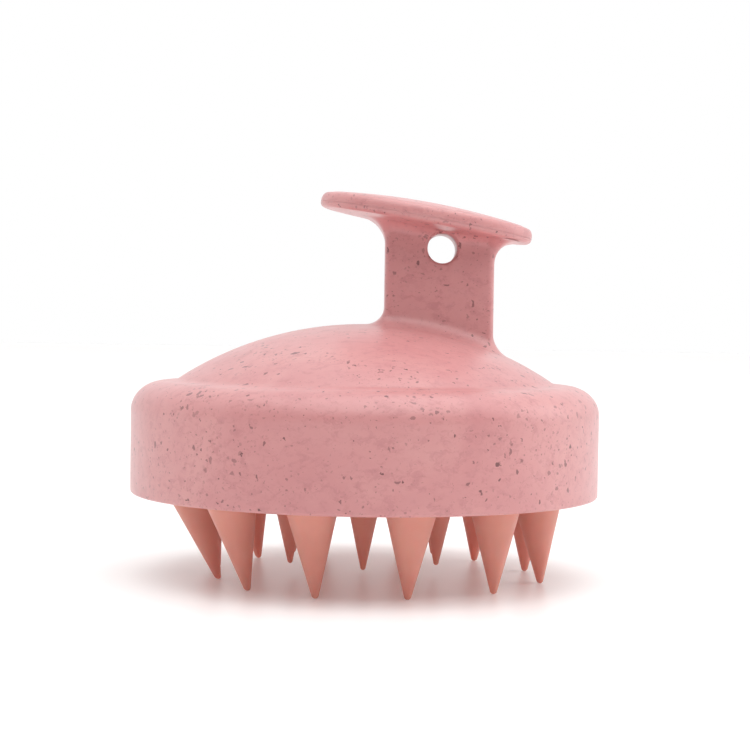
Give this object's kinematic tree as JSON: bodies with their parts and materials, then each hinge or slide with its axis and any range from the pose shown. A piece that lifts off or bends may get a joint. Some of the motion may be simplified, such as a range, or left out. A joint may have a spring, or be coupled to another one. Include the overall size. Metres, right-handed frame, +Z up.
{
  "type": "scalp massager brush",
  "caption": "Round domed hand brush with an off-centre stem, tilted oval palm plate, hanging hole and soft conical silicone teeth for massaging the scalp.",
  "frame": {"origin": "on the body's axis at the level of the outer tooth tips", "axes": "+Z up along the body's axis, +X towards the off-centre handle, -Y the side with the better view of the hanging hole"},
  "size_m": [0.08, 0.08, 0.0656],
  "materials": {
    "straw_plastic": "satin, speckled with fine dark plant fibres",
    "retainer_plastic": "satin",
    "silicone": "satin"
  },
  "bodies": {
    "brush_head": {"retainer_plate": "retainer_plastic", "silicone_pad": "silicone"},
    "housing": {"housing": "straw_plastic", "palm_cap": "straw_plastic"},
    "tooth_outer_01": {"tooth_outer_01": "silicone"},
    "tooth_outer_02": {"tooth_outer_02": "silicone"},
    "tooth_outer_03": {"tooth_outer_03": "silicone"},
    "tooth_outer_04": {"tooth_outer_04": "silicone"},
    "tooth_outer_05": {"tooth_outer_05": "silicone"},
    "tooth_outer_06": {"tooth_outer_06": "silicone"},
    "tooth_outer_07": {"tooth_outer_07": "silicone"},
    "tooth_outer_08": {"tooth_outer_08": "silicone"},
    "tooth_outer_09": {"tooth_outer_09": "silicone"},
    "tooth_outer_10": {"tooth_outer_10": "silicone"},
    "tooth_outer_11": {"tooth_outer_11": "silicone"},
    "tooth_outer_12": {"tooth_outer_12": "silicone"},
    "tooth_inner_01": {"tooth_inner_01": "silicone"},
    "tooth_inner_02": {"tooth_inner_02": "silicone"},
    "tooth_inner_03": {"tooth_inner_03": "silicone"},
    "tooth_inner_04": {"tooth_inner_04": "silicone"},
    "tooth_inner_05": {"tooth_inner_05": "silicone"},
    "tooth_inner_06": {"tooth_inner_06": "silicone"},
    "tooth_centre": {"tooth_centre": "silicone"}
  },
  "joints": [
    {"name": "head_pull", "type": "slide", "parent": "brush_head", "child": "housing", "axis": [0, 0, 1], "range_m": [0, 0.03]},
    {"name": "tooth_outer_01_bend", "type": "hinge", "parent": "brush_head", "child": "tooth_outer_01", "pos_m": [0.02896, 0.00787, 0.017], "axis": [0.2588, -0.9659, 0], "range_deg": [-15, 15], "stiffness_Nm_per_rad": 0.012},
    {"name": "tooth_outer_02_bend", "type": "hinge", "parent": "brush_head", "child": "tooth_outer_02", "pos_m": [0.0211, 0.0215, 0.017], "axis": [0.7071, -0.7071, 0], "range_deg": [-15, 15], "stiffness_Nm_per_rad": 0.012},
    {"name": "tooth_outer_03_bend", "type": "hinge", "parent": "brush_head", "child": "tooth_outer_03", "pos_m": [0.00747, 0.02936, 0.017], "axis": [0.9659, -0.2588, 0], "range_deg": [-15, 15], "stiffness_Nm_per_rad": 0.012},
    {"name": "tooth_outer_04_bend", "type": "hinge", "parent": "brush_head", "child": "tooth_outer_04", "pos_m": [-0.00827, 0.02936, 0.017], "axis": [0.9659, 0.2588, 0], "range_deg": [-15, 15], "stiffness_Nm_per_rad": 0.012},
    {"name": "tooth_outer_05_bend", "type": "hinge", "parent": "brush_head", "child": "tooth_outer_05", "pos_m": [-0.0219, 0.0215, 0.017], "axis": [0.7071, 0.7071, 0], "range_deg": [-15, 15], "stiffness_Nm_per_rad": 0.012},
    {"name": "tooth_outer_06_bend", "type": "hinge", "parent": "brush_head", "child": "tooth_outer_06", "pos_m": [-0.02976, 0.00787, 0.017], "axis": [0.2588, 0.9659, 0], "range_deg": [-15, 15], "stiffness_Nm_per_rad": 0.012},
    {"name": "tooth_outer_07_bend", "type": "hinge", "parent": "brush_head", "child": "tooth_outer_07", "pos_m": [-0.02976, -0.00787, 0.017], "axis": [-0.2588, 0.9659, 0], "range_deg": [-15, 15], "stiffness_Nm_per_rad": 0.012},
    {"name": "tooth_outer_08_bend", "type": "hinge", "parent": "brush_head", "child": "tooth_outer_08", "pos_m": [-0.0219, -0.0215, 0.017], "axis": [-0.7071, 0.7071, 0], "range_deg": [-15, 15], "stiffness_Nm_per_rad": 0.012},
    {"name": "tooth_outer_09_bend", "type": "hinge", "parent": "brush_head", "child": "tooth_outer_09", "pos_m": [-0.00827, -0.02936, 0.017], "axis": [-0.9659, 0.2588, 0], "range_deg": [-15, 15], "stiffness_Nm_per_rad": 0.012},
    {"name": "tooth_outer_10_bend", "type": "hinge", "parent": "brush_head", "child": "tooth_outer_10", "pos_m": [0.00747, -0.02936, 0.017], "axis": [-0.9659, -0.2588, 0], "range_deg": [-15, 15], "stiffness_Nm_per_rad": 0.012},
    {"name": "tooth_outer_11_bend", "type": "hinge", "parent": "brush_head", "child": "tooth_outer_11", "pos_m": [0.0211, -0.0215, 0.017], "axis": [-0.7071, -0.7071, 0], "range_deg": [-15, 15], "stiffness_Nm_per_rad": 0.012},
    {"name": "tooth_outer_12_bend", "type": "hinge", "parent": "brush_head", "child": "tooth_outer_12", "pos_m": [0.02896, -0.00787, 0.017], "axis": [-0.2588, -0.9659, 0], "range_deg": [-15, 15], "stiffness_Nm_per_rad": 0.012},
    {"name": "tooth_inner_01_bend", "type": "hinge", "parent": "brush_head", "child": "tooth_inner_01", "pos_m": [0.01264, 0.0073, 0.017], "axis": [0.5, -0.866, 0], "range_deg": [-15, 15], "stiffness_Nm_per_rad": 0.012},
    {"name": "tooth_inner_02_bend", "type": "hinge", "parent": "brush_head", "child": "tooth_inner_02", "pos_m": [0, 0.0146, 0.017], "axis": [1, 0, 0], "range_deg": [-15, 15], "stiffness_Nm_per_rad": 0.012},
    {"name": "tooth_inner_03_bend", "type": "hinge", "parent": "brush_head", "child": "tooth_inner_03", "pos_m": [-0.01264, 0.0073, 0.017], "axis": [0.5, 0.866, 0], "range_deg": [-15, 15], "stiffness_Nm_per_rad": 0.012},
    {"name": "tooth_inner_04_bend", "type": "hinge", "parent": "brush_head", "child": "tooth_inner_04", "pos_m": [-0.01264, -0.0073, 0.017], "axis": [-0.5, 0.866, 0], "range_deg": [-15, 15], "stiffness_Nm_per_rad": 0.012},
    {"name": "tooth_inner_05_bend", "type": "hinge", "parent": "brush_head", "child": "tooth_inner_05", "pos_m": [0, -0.0146, 0.017], "axis": [-1, 0, 0], "range_deg": [-15, 15], "stiffness_Nm_per_rad": 0.012},
    {"name": "tooth_inner_06_bend", "type": "hinge", "parent": "brush_head", "child": "tooth_inner_06", "pos_m": [0.01264, -0.0073, 0.017], "axis": [-0.5, -0.866, 0], "range_deg": [-15, 15], "stiffness_Nm_per_rad": 0.012},
    {"name": "tooth_centre_bend", "type": "hinge", "parent": "brush_head", "child": "tooth_centre", "pos_m": [0, 0, 0.017], "axis": [0, -1, 0], "range_deg": [-15, 15], "stiffness_Nm_per_rad": 0.012}
  ]
}
